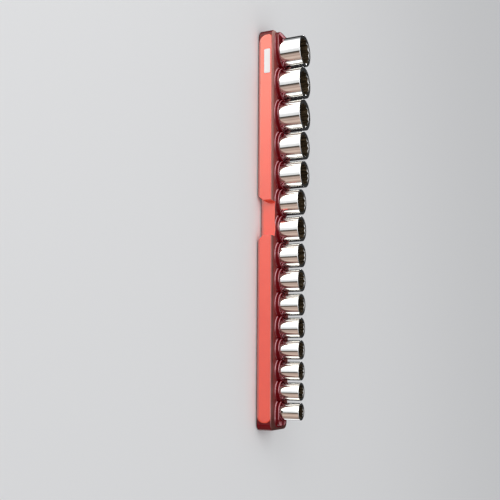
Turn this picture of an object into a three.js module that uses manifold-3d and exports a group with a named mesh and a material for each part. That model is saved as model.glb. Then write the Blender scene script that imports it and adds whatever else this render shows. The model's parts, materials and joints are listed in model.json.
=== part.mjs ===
// Magnetic socket tray: one long moulded tray that carries a row of fifteen sockets, mouths up.
// Millimetres. X runs along the row from the largest socket to the smallest, Z points out of the
// tray, and the side with the label faces -Y. The origin is the middle of the back of the tray.

import * as THREE from 'three';
import { mergeVertices } from 'three/addons/utils/BufferGeometryUtils.js';
import Module from 'manifold-3d';

const wasm = await Module();
wasm.setup();

// Opening across the flats of each socket, in row order.
const opening01 = 32;
const opening02 = 30;
const opening03 = 29;
const opening04 = 27;
const opening05 = 26;
const opening06 = 25;
const opening07 = 24;
const opening08 = 23;
const opening09 = 21;
const opening10 = 20;
const opening11 = 19;
const opening12 = 18;
const opening13 = 17;
const opening14 = 16;
const opening15 = 15;

// Outside diameter of each socket, in row order.
const outside01 = 43;
const outside02 = 43;
const outside03 = 42.5;
const outside04 = 38;
const outside05 = 36;
const outside06 = 34;
const outside07 = 33.5;
const outside08 = 32;
const outside09 = 29.5;
const outside10 = 28.5;
const outside11 = 26.5;
const outside12 = 25;
const outside13 = 24;
const outside14 = 23;
const outside15 = 22;

// The sockets themselves.
const longLength = 43;
const shortLength = 39;
const socketGap = 2.8;
const driveSquare = 12.7;
const driveClearance = 0.3;
const driveDepth = 18.5;
const webThickness = 2.5;
const throughHoleDiameter = 10.5;
const detentHoleDiameter = 2.6;
const detentHoleHeight = 16.5;
const mouthChamfer = 0.6;

// General clearances.
const fitGap = 0.3;
const overrun = 1;
const leastRadius = 0.25;
const chordError = 0.17;

// Tray body. Heights are above the surface that the tray lies on.
const ledgeHeight = 20.5;
const collarRise = 5.5;
const collarWall = 1.8;
const pocketClearance = 0.4;
const pocketFloorThickness = 2.4;
const collarRimChamfer = 0.7;
const collarFoot = 1.3;
const endMarginLargeEnd = 3.2;
const endMarginSmallEnd = 10.8;
const collarEndReachSmallEnd = 5;
const collarEndRadiusLargeEnd = 10;
const collarEndRadiusSmallEnd = 7;
const ledgeWidthLargeEnd = 10.3;
const ledgeWidthSmallEnd = 14.5;
const endCornerRadiusLargeEnd = 12;
const endCornerRadiusSmallEnd = 8;
const ledgeEdgeRadius = 1.5;
const shellWall = 2.5;
const ledgeSkin = 2.5;
const cupWall = 1.8;

// Raised pads on the two long sides, in two lengths per side with the finger notch between them.
const padProud = 1.5;
const padEndStep = 9.5;
const padNotchRadius = 1;
const padFootRounding = 5;
const padEndRounding = 2;
const padTopRounding = 0.8;

// Finger notch, cut through the full height of each long side.
const notchLength = 46.7;
const notchCentre = -5.75;
const notchFootChamfer = 7;
const notchFrontWall = 0.6;

// Blank label plate, let into the front pad near the large end.
const labelLength = 34;
const labelHeight = 8.6;
const labelThickness = 0.9;
const labelRecessDepth = 1;
const labelFromPadEnd = 21.2;
const labelFoot = 9.5;
const labelCornerRadius = 1.2;

// Back of the tray.
const rearPadThickness = 0.8;
const rearPadInset = 1.5;
const basePlateThickness = 2;
const pocketMagnetDiameter = 16;
const pocketMagnetThickness = 6;
const magnetRingWall = 1.6;
const mountMagnetLength = 36;
const mountMagnetWidth = 6;
const mountMagnetThickness = 6;
const mountMagnetStop = 1.6;
const mountMagnetStopRise = 4;

// Screws that hold the base plate.
const screwShankDiameter = 2.8;
const screwHeadDiameter = 5.6;
const screwLength = 12;
const screwPostWall = 2.2;
const screwHeadRecess = 0.2;

// Counts and shares.
const outlineSteps = 4;
const roundSteps = 2;
const magnetSides = 16;
const boreSides = 12;
const openingPoints = 12;
const screwSides = 12;
const holeSides = 8;
const padFootEndShare = 0.62;
const padTopEndShare = 0.28;
const screwPlaceShares = [-0.93, -0.36, 0.3, 0.93];
const mountMagnetPlaceShares = [-0.62, 0.62];
const socketTurnSpreadShare = 0.15;

// The sockets in row order.
const socketSizes = [
  { acrossFlats: opening01, outerDiameter: outside01, length: longLength },
  { acrossFlats: opening02, outerDiameter: outside02, length: longLength },
  { acrossFlats: opening03, outerDiameter: outside03, length: longLength },
  { acrossFlats: opening04, outerDiameter: outside04, length: longLength },
  { acrossFlats: opening05, outerDiameter: outside05, length: longLength },
  { acrossFlats: opening06, outerDiameter: outside06, length: shortLength },
  { acrossFlats: opening07, outerDiameter: outside07, length: shortLength },
  { acrossFlats: opening08, outerDiameter: outside08, length: shortLength },
  { acrossFlats: opening09, outerDiameter: outside09, length: shortLength },
  { acrossFlats: opening10, outerDiameter: outside10, length: shortLength },
  { acrossFlats: opening11, outerDiameter: outside11, length: shortLength },
  { acrossFlats: opening12, outerDiameter: outside12, length: shortLength },
  { acrossFlats: opening13, outerDiameter: outside13, length: shortLength },
  { acrossFlats: opening14, outerDiameter: outside14, length: shortLength },
  { acrossFlats: opening15, outerDiameter: outside15, length: shortLength },
];

// Sizes worked out from the values above.
const quarterTurn = Math.PI / 2;
const fullTurn = Math.PI * 2;
const trayBottom = rearPadThickness + fitGap;
const plateTop = trayBottom + basePlateThickness;
const magnetBottom = plateTop + fitGap;
const pocketFloorUnderside = magnetBottom + pocketMagnetThickness + fitGap;
const pocketFloorTop = pocketFloorUnderside + pocketFloorThickness;
const collarTop = ledgeHeight + collarRise;
const socketSeat = pocketFloorTop + fitGap;
const pocketRadii = socketSizes.map((size) => size.outerDiameter / 2 + pocketClearance);
const collarRadii = pocketRadii.map((radius) => radius + collarWall);
const rowPlaces = placesAlongRow();
const lastSocket = socketSizes.length - 1;
const trayEnd = rowPlaces[lastSocket] + collarRadii[lastSocket] + endMarginSmallEnd;
const padHeight = ledgeHeight - trayBottom;
const halfWidthLarge = collarRadii[0] + ledgeWidthLargeEnd;
const halfWidthSmall = collarRadii[lastSocket] + ledgeWidthSmallEnd;
const widthSlope = (halfWidthSmall - halfWidthLarge) / (rowPlaces[lastSocket] - rowPlaces[0]);
const taperAngle = Math.atan(widthSlope);

// Middles of the sockets along X, with the whole tray centred on the origin.
function placesAlongRow() {
  const places = [collarRadii[0] + endMarginLargeEnd];
  for (let i = 1; i < socketSizes.length; i += 1) {
    const pitch = (socketSizes[i - 1].outerDiameter + socketSizes[i].outerDiameter) / 2 + socketGap;
    places.push(places[i - 1] + pitch);
  }
  const length = places.at(-1) + collarRadii.at(-1) + endMarginSmallEnd;
  return places.map((place) => place - length / 2);
}

// Half the width of the tray body at a place along the row.
function halfWidthAt(x) {
  return halfWidthLarge + widthSlope * (x - rowPlaces[0]);
}

// A closed solid from a three.js geometry.
function solidFrom(geometry) {
  const bare = geometry.clone();
  bare.deleteAttribute('normal');
  bare.deleteAttribute('uv');
  const merged = mergeVertices(bare);
  const vertProperties = new Float32Array(merged.attributes.position.array);
  const triVerts = new Uint32Array(merged.index.array);
  return new wasm.Manifold(new wasm.Mesh({ numProp: 3, vertProperties, triVerts }));
}

// A three.js geometry from a closed solid.
function geometryFrom(solid) {
  const mesh = solid.getMesh();
  const geometry = new THREE.BufferGeometry();
  geometry.setAttribute('position', new THREE.BufferAttribute(mesh.vertProperties, 3));
  geometry.setIndex(new THREE.BufferAttribute(mesh.triVerts, 1));
  geometry.computeVertexNormals();
  return geometry;
}

// Joins a list of solids.
function joined(solids) {
  return solids.reduce((whole, solid) => whole.add(solid));
}

// Takes a list of solids out of another.
function cut(solid, cutters) {
  return cutters.reduce((rest, cutter) => rest.subtract(cutter), solid);
}

// Six times the signed volume below one triangle.
function triangleVolume(a, b, c) {
  return a.dot(b.clone().cross(c));
}

// A solid whose skin runs through a list of rings with the same number of points.
function loft(rings) {
  const count = rings[0].length;
  const points = rings.flat();
  const faces = [];
  for (let ring = 0; ring + 1 < rings.length; ring += 1) {
    for (let i = 0; i < count; i += 1) {
      const next = (i + 1) % count;
      const low = ring * count;
      const high = low + count;
      faces.push([low + i, low + next, high + next], [low + i, high + next, high + i]);
    }
  }
  const base = rings[0].map((point) => new THREE.Vector2(point.u, point.v));
  const caps = THREE.ShapeUtils.triangulateShape(base, []);
  const shift = (rings.length - 1) * count;
  const clockwise = THREE.ShapeUtils.isClockWise(base);
  for (const cap of caps) {
    const [a, b, c] = clockwise ? [cap[1], cap[0], cap[2]] : cap;
    faces.push([b, a, c], [a + shift, b + shift, c + shift]);
  }
  let volume = 0;
  for (const [a, b, c] of faces) {
    volume += triangleVolume(points[a].at, points[b].at, points[c].at);
  }
  const turned = volume < 0 ? faces.map(([a, b, c]) => [b, a, c]) : faces;
  const geometry = new THREE.BufferGeometry();
  const numbers = points.flatMap((point) => point.at.toArray());
  geometry.setAttribute('position', new THREE.Float32BufferAttribute(numbers, 3));
  geometry.setIndex(turned.flat());
  return solidFrom(geometry);
}

// The corners of a polygon rounded with one radius each, counterclockwise.
function rounded(corners, radii, steps) {
  const outline = [];
  corners.forEach((corner, i) => {
    const before = corners[(i + corners.length - 1) % corners.length];
    const after = corners[(i + 1) % corners.length];
    const toBefore = before.clone().sub(corner).normalize();
    const toAfter = after.clone().sub(corner).normalize();
    const half = Math.acos(toBefore.dot(toAfter)) / 2;
    const centre = toBefore.clone().add(toAfter).normalize().multiplyScalar(radii[i] / Math.sin(half));
    centre.add(corner);
    const start = corner.clone().addScaledVector(toBefore, radii[i] / Math.tan(half)).sub(centre);
    const sweep = Math.PI - half * 2;
    for (let k = 0; k <= steps; k += 1) {
      const arm = start.clone().rotateAround(new THREE.Vector2(), (sweep * k) / steps);
      outline.push(arm.add(centre));
    }
  });
  return outline;
}

// A convex polygon with each edge moved inwards by its own amount. Edge i starts at corner i.
function insetCorners(corners, insets) {
  const count = corners.length;
  const lines = corners.map((corner, i) => {
    const along = corners[(i + 1) % count].clone().sub(corner).normalize();
    const inward = new THREE.Vector2(-along.y, along.x);
    return { from: corner.clone().addScaledVector(inward, insets[i]), along };
  });
  return lines.map((line, i) => {
    const previous = lines[(i + count - 1) % count];
    const between = line.from.clone().sub(previous.from);
    const reach = between.cross(line.along) / previous.along.cross(line.along);
    return previous.from.clone().addScaledVector(previous.along, reach);
  });
}

// Outline of the tray seen from above, moved inwards.
function trayOutline(inset) {
  const corners = [
    new THREE.Vector2(-trayEnd, -halfWidthAt(-trayEnd)),
    new THREE.Vector2(trayEnd, -halfWidthAt(trayEnd)),
    new THREE.Vector2(trayEnd, halfWidthAt(trayEnd)),
    new THREE.Vector2(-trayEnd, halfWidthAt(-trayEnd)),
  ];
  const inner = insetCorners(corners, corners.map(() => inset));
  const large = Math.max(endCornerRadiusLargeEnd - inset, leastRadius);
  const small = Math.max(endCornerRadiusSmallEnd - inset, leastRadius);
  return rounded(inner, [large, small, small, large], outlineSteps);
}

// The tray outline as a level ring at a height.
function levelRing(inset, z) {
  return trayOutline(inset).map((point) => ({
    u: point.x,
    v: point.y,
    at: new THREE.Vector3(point.x, point.y, z),
  }));
}

// An upright slab with the outline of the tray.
function traySlab(inset, bottom, top) {
  return loft([levelRing(inset, bottom), levelRing(inset, top)]);
}

// How many sides keep a round of this radius within the chord error, in steps of four.
function sidesFor(radius) {
  return 4 * Math.ceil(quarterTurn / 2 / Math.acos(1 - chordError / radius));
}

// An upright cylinder between two heights.
function cylinderAt(radius, sides, x, y, bottom, top) {
  const geometry = new THREE.CylinderGeometry(radius, radius, top - bottom, sides);
  geometry.rotateX(quarterTurn);
  geometry.translate(x, y, (bottom + top) / 2);
  return solidFrom(geometry);
}

// An upright body of revolution from its profile, given as pairs of radius and height.
function turnedAt(profile, sides, x, y) {
  const points = profile.map(([radius, height]) => new THREE.Vector2(radius, height));
  const geometry = new THREE.LatheGeometry(points, sides);
  geometry.rotateX(quarterTurn);
  geometry.translate(x, y, 0);
  return solidFrom(geometry);
}

// A point on a long side of the tray: along the side, depth behind the body's face, and height.
function sidePoint(side, along, depth, z) {
  const middle = halfWidthAt(0);
  const x = along * Math.cos(taperAngle) + depth * Math.sin(taperAngle);
  const y = middle + along * Math.sin(taperAngle) - depth * Math.cos(taperAngle);
  return new THREE.Vector3(x, side * y, z);
}

// A ring of points that lies flat at one depth behind a long side.
function sideRing(side, outline, depth) {
  return outline.map((point) => ({
    u: point.x,
    v: point.y,
    at: sidePoint(side, point.x, depth, point.y),
  }));
}

// A block that runs in depth behind a long side, with an outline drawn on that side.
function sideBlock(side, outline, nearDepth, farDepth) {
  return loft([sideRing(side, outline, nearDepth), sideRing(side, outline, farDepth)]);
}

// Depth of the finger notch behind the body's side face: up to just in front of the collars.
function notchDepth() {
  const reach = notchLength / 2 + notchFootChamfer;
  let depth = halfWidthLarge;
  rowPlaces.forEach((place, i) => {
    if (Math.abs(place - notchCentre) < reach + collarRadii[i]) {
      const aside = Math.max(Math.abs(place - notchCentre) - reach, 0);
      const front = Math.sqrt(Math.max(collarRadii[i] ** 2 - aside ** 2, 0));
      depth = Math.min(depth, halfWidthAt(place) - front);
    }
  });
  return depth - notchFrontWall;
}

// Outline of the finger notch on a long side, grown by a margin.
function notchOutline(margin) {
  const start = notchCentre - notchLength / 2 - margin;
  const end = notchCentre + notchLength / 2 + margin;
  const chamferTop = trayBottom + notchFootChamfer;
  const low = -overrun;
  const spread = chamferTop - low;
  const high = collarTop + overrun;
  return [
    new THREE.Vector2(start - spread, low),
    new THREE.Vector2(end + spread, low),
    new THREE.Vector2(end, chamferTop),
    new THREE.Vector2(end, high),
    new THREE.Vector2(start, high),
    new THREE.Vector2(start, chamferTop),
  ];
}

// Both finger notches, grown by a margin.
function notchBlocks(margin) {
  const front = -padProud - overrun;
  return [-1, 1].map((side) => sideBlock(side, notchOutline(margin), front, notchDepth() + margin));
}

// Corners of one raised pad on a long side, from the tray's end to the finger notch.
function padCorners(atLargeEnd) {
  const outer = trayEnd - padEndStep;
  const towards = atLargeEnd ? -1 : 1;
  const inner = notchLength / 2 + notchCentre * towards;
  const corners = [
    new THREE.Vector2(inner + notchFootChamfer, trayBottom),
    new THREE.Vector2(outer, trayBottom),
    new THREE.Vector2(outer, ledgeHeight),
    new THREE.Vector2(inner, ledgeHeight),
    new THREE.Vector2(inner, trayBottom + notchFootChamfer),
  ];
  return corners;
}

// One raised pad with its rounded rim, reaching into the wall behind it.
function padSolid(side, atLargeEnd) {
  const corners = padCorners(atLargeEnd);
  const footRadius = padHeight * padFootEndShare;
  const topRadius = padHeight * padTopEndShare;
  const radii = [padNotchRadius, footRadius, topRadius, padNotchRadius, padNotchRadius];
  const rounding = [padFootRounding, padEndRounding, padTopRounding, padTopRounding, padTopRounding];
  const rings = [];
  const mirror = atLargeEnd ? -1 : 1;
  for (let k = 0; k <= roundSteps; k += 1) {
    const angle = (quarterTurn * k) / roundSteps;
    const insets = rounding.map((size) => size * (1 - Math.sin(angle)));
    const depth = -padProud * Math.cos(angle);
    const lessened = radii.map((radius, i) => {
      const before = insets[(i + insets.length - 1) % insets.length];
      return Math.max(radius - Math.max(before, insets[i]), leastRadius);
    });
    const outline = rounded(insetCorners(corners, insets), lessened, outlineSteps);
    rings.push(sideRing(side, outline.map((p) => new THREE.Vector2(p.x * mirror, p.y)), depth));
  }
  const foot = rounded(corners, radii, outlineSteps);
  rings.push(sideRing(side, foot.map((p) => new THREE.Vector2(p.x * mirror, p.y)), shellWall / 2));
  return loft(rings);
}

// Where the label sits along the front side.
function labelSpan() {
  const start = padEndStep + labelFromPadEnd - trayEnd;
  return { start, end: start + labelLength, foot: labelFoot, top: labelFoot + labelHeight };
}

// Outline of the label plate, or of its recess with a margin.
function labelOutline(margin) {
  const span = labelSpan();
  const corners = [
    new THREE.Vector2(span.start - margin, span.foot - margin),
    new THREE.Vector2(span.end + margin, span.foot - margin),
    new THREE.Vector2(span.end + margin, span.top + margin),
    new THREE.Vector2(span.start - margin, span.top + margin),
  ];
  return rounded(corners, corners.map(() => labelCornerRadius), outlineSteps);
}

// The collar that stands round one socket, with a sloped foot and a chamfered rim.
function collarSolid(i) {
  const radius = collarRadii[i];
  const sunk = ledgeSkin / 2;
  const profile = [
    [0, ledgeHeight - sunk],
    [radius + collarFoot + sunk, ledgeHeight - sunk],
    [radius, ledgeHeight + collarFoot],
    [radius, collarTop - collarRimChamfer],
    [radius - collarRimChamfer, collarTop],
    [0, collarTop],
  ];
  return turnedAt(profile, sidesFor(radius), rowPlaces[i], 0);
}

// Outline of the raised block at one end of the row of collars, with each side moved outwards.
function collarEndOutline(atLargeEnd, endGrowth, flankGrowth) {
  const i = atLargeEnd ? 0 : lastSocket;
  const radius = collarRadii[i];
  const reach = atLargeEnd ? endMarginLargeEnd - leastRadius : collarEndReachSmallEnd;
  const corner = atLargeEnd ? collarEndRadiusLargeEnd : collarEndRadiusSmallEnd;
  const corners = [
    new THREE.Vector2(0, -radius),
    new THREE.Vector2(radius + reach, -radius),
    new THREE.Vector2(radius + reach, radius),
    new THREE.Vector2(0, radius),
  ];
  const grown = insetCorners(corners, [-flankGrowth, -endGrowth, -flankGrowth, 0]);
  const outer = corner + flankGrowth;
  const outline = rounded(grown, [leastRadius, outer, outer, leastRadius], outlineSteps);
  return outline.map((point) => new THREE.Vector2(
    rowPlaces[i] + (atLargeEnd ? -point.x : point.x),
    point.y,
  ));
}

// The raised block that squares off the row of collars at one end, with the same foot and rim.
function collarEndSolid(atLargeEnd) {
  const endFoot = atLargeEnd ? 0 : collarFoot;
  const ring = (endGrowth, flankGrowth, z) => {
    const outline = collarEndOutline(atLargeEnd, endGrowth, flankGrowth);
    return outline.map((point) => ({
      u: point.x,
      v: point.y,
      at: new THREE.Vector3(point.x, point.y, z),
    }));
  };
  return loft([
    ring(endFoot, collarFoot, ledgeHeight - ledgeSkin / 2),
    ring(endFoot, collarFoot, ledgeHeight),
    ring(0, 0, ledgeHeight + collarFoot),
    ring(0, 0, collarTop - collarRimChamfer),
    ring(-collarRimChamfer, -collarRimChamfer, collarTop),
  ]);
}

// The space for one socket.
function pocketSpace(i) {
  const radius = pocketRadii[i];
  return cylinderAt(radius, sidesFor(radius), rowPlaces[i], 0, pocketFloorTop, collarTop + overrun);
}

// The trough below the collars that holds all the pockets.
function troughSolid() {
  const reach = pocketRadii.map((radius) => radius + cupWall);
  const side = rowPlaces.map((place, i) => new THREE.Vector2(place, -reach[i]));
  side.unshift(new THREE.Vector2(rowPlaces[0] - reach[0], -reach[0]));
  side.push(new THREE.Vector2(rowPlaces[lastSocket] + reach[lastSocket], -reach[lastSocket]));
  const back = side.map((point) => new THREE.Vector2(point.x, -point.y)).reverse();
  const ring = (z) => [...side, ...back].map((point) => ({
    u: point.x,
    v: point.y,
    at: new THREE.Vector3(point.x, point.y, z),
  }));
  return loft([ring(pocketFloorUnderside), ring(ledgeHeight - ledgeSkin / 2)]);
}

// The ring that holds one pocket magnet.
function magnetRing(i) {
  const radius = pocketMagnetDiameter / 2 + fitGap + magnetRingWall;
  return cylinderAt(radius, magnetSides, rowPlaces[i], 0, magnetBottom, pocketFloorTop);
}

// The space for one pocket magnet.
function magnetSpace(i) {
  const radius = pocketMagnetDiameter / 2 + fitGap;
  return cylinderAt(radius, magnetSides, rowPlaces[i], 0, trayBottom - overrun, pocketFloorUnderside);
}

// Middles of the base plate screws.
function screwPlaces() {
  const radius = screwShankDiameter / 2 + fitGap + screwPostWall;
  const places = [];
  for (const share of screwPlaceShares) {
    for (const side of [-1, 1]) {
      const x = share * (trayEnd - shellWall - radius);
      places.push({ x, y: side * (halfWidthAt(x) - shellWall - radius + fitGap) });
    }
  }
  return places;
}

// The post that takes one screw.
function screwPost(place) {
  const radius = screwShankDiameter / 2 + fitGap + screwPostWall;
  const roof = ledgeHeight - ledgeSkin / 2;
  return cylinderAt(radius, magnetSides, place.x, place.y, magnetBottom, roof);
}

// The hole in one screw post.
function screwPilot(place) {
  const top = trayBottom + screwHeadRecess + screwLength + fitGap;
  return cylinderAt(screwShankDiameter / 2 + fitGap, holeSides, place.x, place.y, trayBottom - overrun, top);
}

// The moulded tray body.
function trayBody() {
  const rings = [levelRing(0, trayBottom)];
  for (let k = 0; k <= roundSteps; k += 1) {
    const angle = (quarterTurn * k) / roundSteps;
    const inset = ledgeEdgeRadius * (1 - Math.cos(angle));
    rings.push(levelRing(inset, ledgeHeight - ledgeEdgeRadius * (1 - Math.sin(angle))));
  }
  const indices = socketSizes.map((size, i) => i);
  const pads = [-1, 1].flatMap((side) => [padSolid(side, true), padSolid(side, false)]);
  const collars = [...indices.map(collarSolid), collarEndSolid(true), collarEndSolid(false)];
  const outside = joined([loft(rings), ...pads, ...collars]);
  const places = screwPlaces();
  const hollow = cut(
    traySlab(shellWall, trayBottom - overrun, ledgeHeight - ledgeSkin),
    [...notchBlocks(shellWall), troughSolid(), ...indices.map(magnetRing), ...places.map(screwPost)],
  );
  const label = sideBlock(-1, labelOutline(fitGap), -padProud - overrun, labelRecessDepth - padProud);
  const spaces = [...notchBlocks(0), hollow, label, ...indices.map(pocketSpace)];
  return cut(outside, [...spaces, ...indices.map(magnetSpace), ...places.map(screwPilot)]);
}

// The plate that closes the back, with end stops for the mounting magnets.
function basePlate() {
  const slab = traySlab(shellWall + fitGap, trayBottom, plateTop);
  const holes = screwPlaces().map((place) => screwProfile(fitGap, place));
  const stops = mountMagnetPlaces().flatMap(magnetStops);
  return cut(joined([slab, ...stops]), [...notchBlocks(shellWall + fitGap), ...holes]);
}

// The thin cushion on the back of the tray.
function rearPad() {
  return cut(traySlab(rearPadInset, 0, rearPadThickness), notchBlocks(rearPadInset));
}

// Middles of the mounting magnets, halfway between the cups and the side wall.
function mountMagnetPlaces() {
  const places = [];
  for (const share of mountMagnetPlaceShares) {
    for (const side of [-1, 1]) {
      const x = share * trayEnd;
      const nearest = rowPlaces.map((place) => Math.abs(place - x));
      const i = nearest.indexOf(Math.min(...nearest));
      const inner = pocketRadii[i] + cupWall;
      const outer = halfWidthAt(x) - shellWall;
      places.push({ x, y: (side * (inner + outer)) / 2, side });
    }
  }
  return places;
}

// The two stops on the base plate at the ends of one mounting magnet.
function magnetStops(place) {
  return [-1, 1].map((end) => {
    const geometry = new THREE.BoxGeometry(mountMagnetStop, mountMagnetWidth, mountMagnetStopRise);
    const reach = mountMagnetLength / 2 + fitGap + mountMagnetStop / 2;
    const overlap = basePlateThickness / 2;
    geometry.translate(end * reach, 0, plateTop - overlap + mountMagnetStopRise / 2);
    geometry.rotateZ(place.side * taperAngle);
    geometry.translate(place.x, place.y, 0);
    return solidFrom(geometry);
  });
}

// One screw, or its clearance hole when grown by a margin.
function screwProfile(margin, place) {
  const bottom = trayBottom + (margin > 0 ? -overrun : screwHeadRecess);
  const seat = trayBottom + screwHeadRecess;
  const head = screwHeadDiameter / 2 + margin;
  const shank = screwShankDiameter / 2 + margin;
  const neck = seat + head - shank;
  const profile = [
    [0, bottom],
    [head, bottom],
    [head, seat],
    [shank, neck],
    [shank, seat + screwLength],
    [0, seat + screwLength],
  ];
  const clean = margin > 0 ? profile : profile.filter((point, i) => i !== 2);
  return turnedAt(clean, screwSides, place.x, place.y);
}

// Outline of a twelve-point opening.
function twelvePointOutline(acrossFlats) {
  const tip = acrossFlats / Math.sqrt(3);
  const valley = acrossFlats / 2 / Math.cos(fullTurn / openingPoints / 2);
  const shape = new THREE.Shape();
  for (let k = 0; k < openingPoints * 2; k += 1) {
    const radius = k % 2 === 0 ? tip : valley;
    const angle = (fullTurn * k) / openingPoints / 2;
    const x = radius * Math.cos(angle);
    const y = radius * Math.sin(angle);
    if (k === 0) {
      shape.moveTo(x, y);
    } else {
      shape.lineTo(x, y);
    }
  }
  shape.closePath();
  return shape;
}

// One socket standing on its drive end at the origin.
function socketSolid(size) {
  const radius = size.outerDiameter / 2;
  const length = size.length;
  const outside = turnedAt([
    [0, 0],
    [radius, 0],
    [radius, length - mouthChamfer],
    [radius - mouthChamfer, length],
    [0, length],
  ], sidesFor(radius), 0, 0);
  const floor = driveDepth + webThickness;
  const depth = length - floor + overrun;
  const opening = new THREE.ExtrudeGeometry(twelvePointOutline(size.acrossFlats), {
    depth,
    bevelEnabled: false,
  });
  opening.translate(0, 0, floor);
  const across = driveSquare + driveClearance;
  const square = new THREE.BoxGeometry(across, across, driveDepth + overrun);
  square.translate(0, 0, (driveDepth - overrun) / 2);
  const through = cylinderAt(throughHoleDiameter / 2, boreSides, 0, 0, driveDepth - overrun, floor + overrun);
  const detent = new THREE.CylinderGeometry(
    detentHoleDiameter / 2,
    detentHoleDiameter / 2,
    radius + overrun,
    holeSides,
  );
  detent.translate(0, -(radius + overrun) / 2, 0);
  detent.translate(0, 0, detentHoleHeight);
  return cut(outside, [solidFrom(opening), solidFrom(square), through, solidFrom(detent)]);
}

// How far a socket is turned in its pocket. The last shows its detent hole on the label side.
function socketTurn(i) {
  const steps = lastSocket - i;
  return steps === 0 ? 0 : fullTurn * (0.5 + socketTurnSpreadShare * Math.sin(steps * 2));
}

// A magnet disc standing on the origin.
function magnetDisc() {
  return cylinderAt(pocketMagnetDiameter / 2, magnetSides, 0, 0, 0, pocketMagnetThickness);
}

// Materials, read from the photograph where the piece shows.
function material(colour, roughness, metalness) {
  return new THREE.MeshStandardMaterial({ color: colour, roughness, metalness });
}

// One named piece of the group.
function piece(name, geometry, look) {
  const mesh = new THREE.Mesh(geometry, look);
  mesh.name = name;
  return mesh;
}

// A number with two digits for names.
function twoDigits(number) {
  return String(number).padStart(2, '0');
}

const tray = new THREE.Group();
tray.add(piece('tray_body', geometryFrom(trayBody()), material(0xd3222a, 0.25, 0)));
tray.add(piece('base_plate', geometryFrom(basePlate()), material(0x1b1b1d, 0.5, 0)));
tray.add(piece('rear_pad', geometryFrom(rearPad()), material(0x141414, 0.9, 0)));

const labelBack = labelRecessDepth - padProud - fitGap;
const label = sideBlock(-1, labelOutline(0), labelBack - labelThickness, labelBack);
tray.add(piece('label_plate', geometryFrom(label), material(0xf4f4f2, 0.35, 0)));

socketSizes.forEach((size, i) => {
  const socket = piece(`socket_${twoDigits(i + 1)}`, geometryFrom(socketSolid(size)), material(0xdcdcde, 0.08, 1));
  socket.position.set(rowPlaces[i], 0, socketSeat);
  socket.rotation.z = socketTurn(i);
  tray.add(socket);
  const magnet = piece(`pocket_magnet_${twoDigits(i + 1)}`, geometryFrom(magnetDisc()), material(0x9a9a9c, 0.35, 1));
  magnet.position.set(rowPlaces[i], 0, magnetBottom);
  tray.add(magnet);
});

mountMagnetPlaces().forEach((place, i) => {
  const bar = new THREE.BoxGeometry(mountMagnetLength, mountMagnetWidth, mountMagnetThickness);
  const magnet = piece(`mount_magnet_${i + 1}`, bar, material(0x9a9a9c, 0.35, 1));
  magnet.position.set(place.x, place.y, magnetBottom + mountMagnetThickness / 2);
  magnet.rotation.z = place.side * taperAngle;
  tray.add(magnet);
});

screwPlaces().forEach((place, i) => {
  tray.add(piece(`base_screw_${i + 1}`, geometryFrom(screwProfile(0, place)), material(0x77797c, 0.4, 1)));
});

export default tray;
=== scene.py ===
import json
import math

import bmesh
import bpy
from mathutils import Matrix, Vector


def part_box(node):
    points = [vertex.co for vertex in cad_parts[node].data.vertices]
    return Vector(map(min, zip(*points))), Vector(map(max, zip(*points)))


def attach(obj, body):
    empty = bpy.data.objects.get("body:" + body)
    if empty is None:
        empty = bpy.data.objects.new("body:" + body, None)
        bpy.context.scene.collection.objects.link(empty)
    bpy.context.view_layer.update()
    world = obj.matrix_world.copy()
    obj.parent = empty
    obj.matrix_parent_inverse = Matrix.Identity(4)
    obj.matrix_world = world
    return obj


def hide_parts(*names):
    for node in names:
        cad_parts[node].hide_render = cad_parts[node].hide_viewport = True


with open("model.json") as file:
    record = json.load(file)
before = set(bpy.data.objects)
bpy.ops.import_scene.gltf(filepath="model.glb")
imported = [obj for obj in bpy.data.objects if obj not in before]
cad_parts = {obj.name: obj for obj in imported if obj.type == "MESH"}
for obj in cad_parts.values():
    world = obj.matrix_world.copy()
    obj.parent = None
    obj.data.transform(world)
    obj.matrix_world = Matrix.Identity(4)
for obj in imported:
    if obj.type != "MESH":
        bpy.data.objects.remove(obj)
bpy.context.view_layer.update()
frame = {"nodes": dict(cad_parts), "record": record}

# Lengths are in millimetres, in the CAD model's frame, and become metres where a mesh is made.
MM = 0.001
SOCKET_COUNT = 15
LAST = SOCKET_COUNT - 1
MOUNT_MAGNET_COUNT = 4
SCREW_COUNT = 8

# Room round a piece in its own space, how far a cut runs past what it cuts, and the least radius.
GAP = 0.3
OVERRUN = 1.0
LEAST_RADIUS = 0.25

# The tray, as in the CAD model.
LEDGE_HEIGHT = 20.5
COLLAR_TOP = 26.0
COLLAR_WALL = 1.8
POCKET_CLEARANCE = 0.4
COLLAR_RIM = 1.0
COLLAR_FOOT = 2.4
END_COLLAR_SHORT_OF_END = 0.25
END_COLLAR_REACH_SMALL = 5.0
END_COLLAR_RADIUS_LARGE = 10.0
END_COLLAR_RADIUS_SMALL = 9.0
POCKET_LEAD = 0.5
POCKET_FLOOR_EDGE = 0.6
LEDGE_LARGE_END = 10.3
LEDGE_SMALL_END = 14.5
END_RADIUS_LARGE = 12.0
END_RADIUS_SMALL = 8.0
LEDGE_EDGE = 1.5
END_EDGE_LARGE = 2.0
END_EDGE_SMALL = 2.5
FOOT_EDGE = 0.4
SHELL_WALL = 2.5
LEDGE_SKIN = 2.5
MID_SKIN = LEDGE_HEIGHT - LEDGE_SKIN / 2
CUP_WALL = 1.8
TRAY_BOTTOM = 1.1
MAGNET_BOTTOM = 3.4
POCKET_FLOOR_UNDERSIDE = 9.7
POCKET_FLOOR = 12.1
MAGNET_DIAMETER = 16.0
MAGNET_RING_WALL = 1.6
PAD_PROUD = 1.5
PAD_STEP = 9.5
PAD_END_SHARES_LARGE = (0.62, 0.28)
PAD_END_SHARES_SMALL = (0.50, 0.42)
PAD_NOTCH_RADIUS = 1.0
PAD_FOOT_ROUNDING = 5.0
PAD_END_ROUNDING = 2.0
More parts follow.
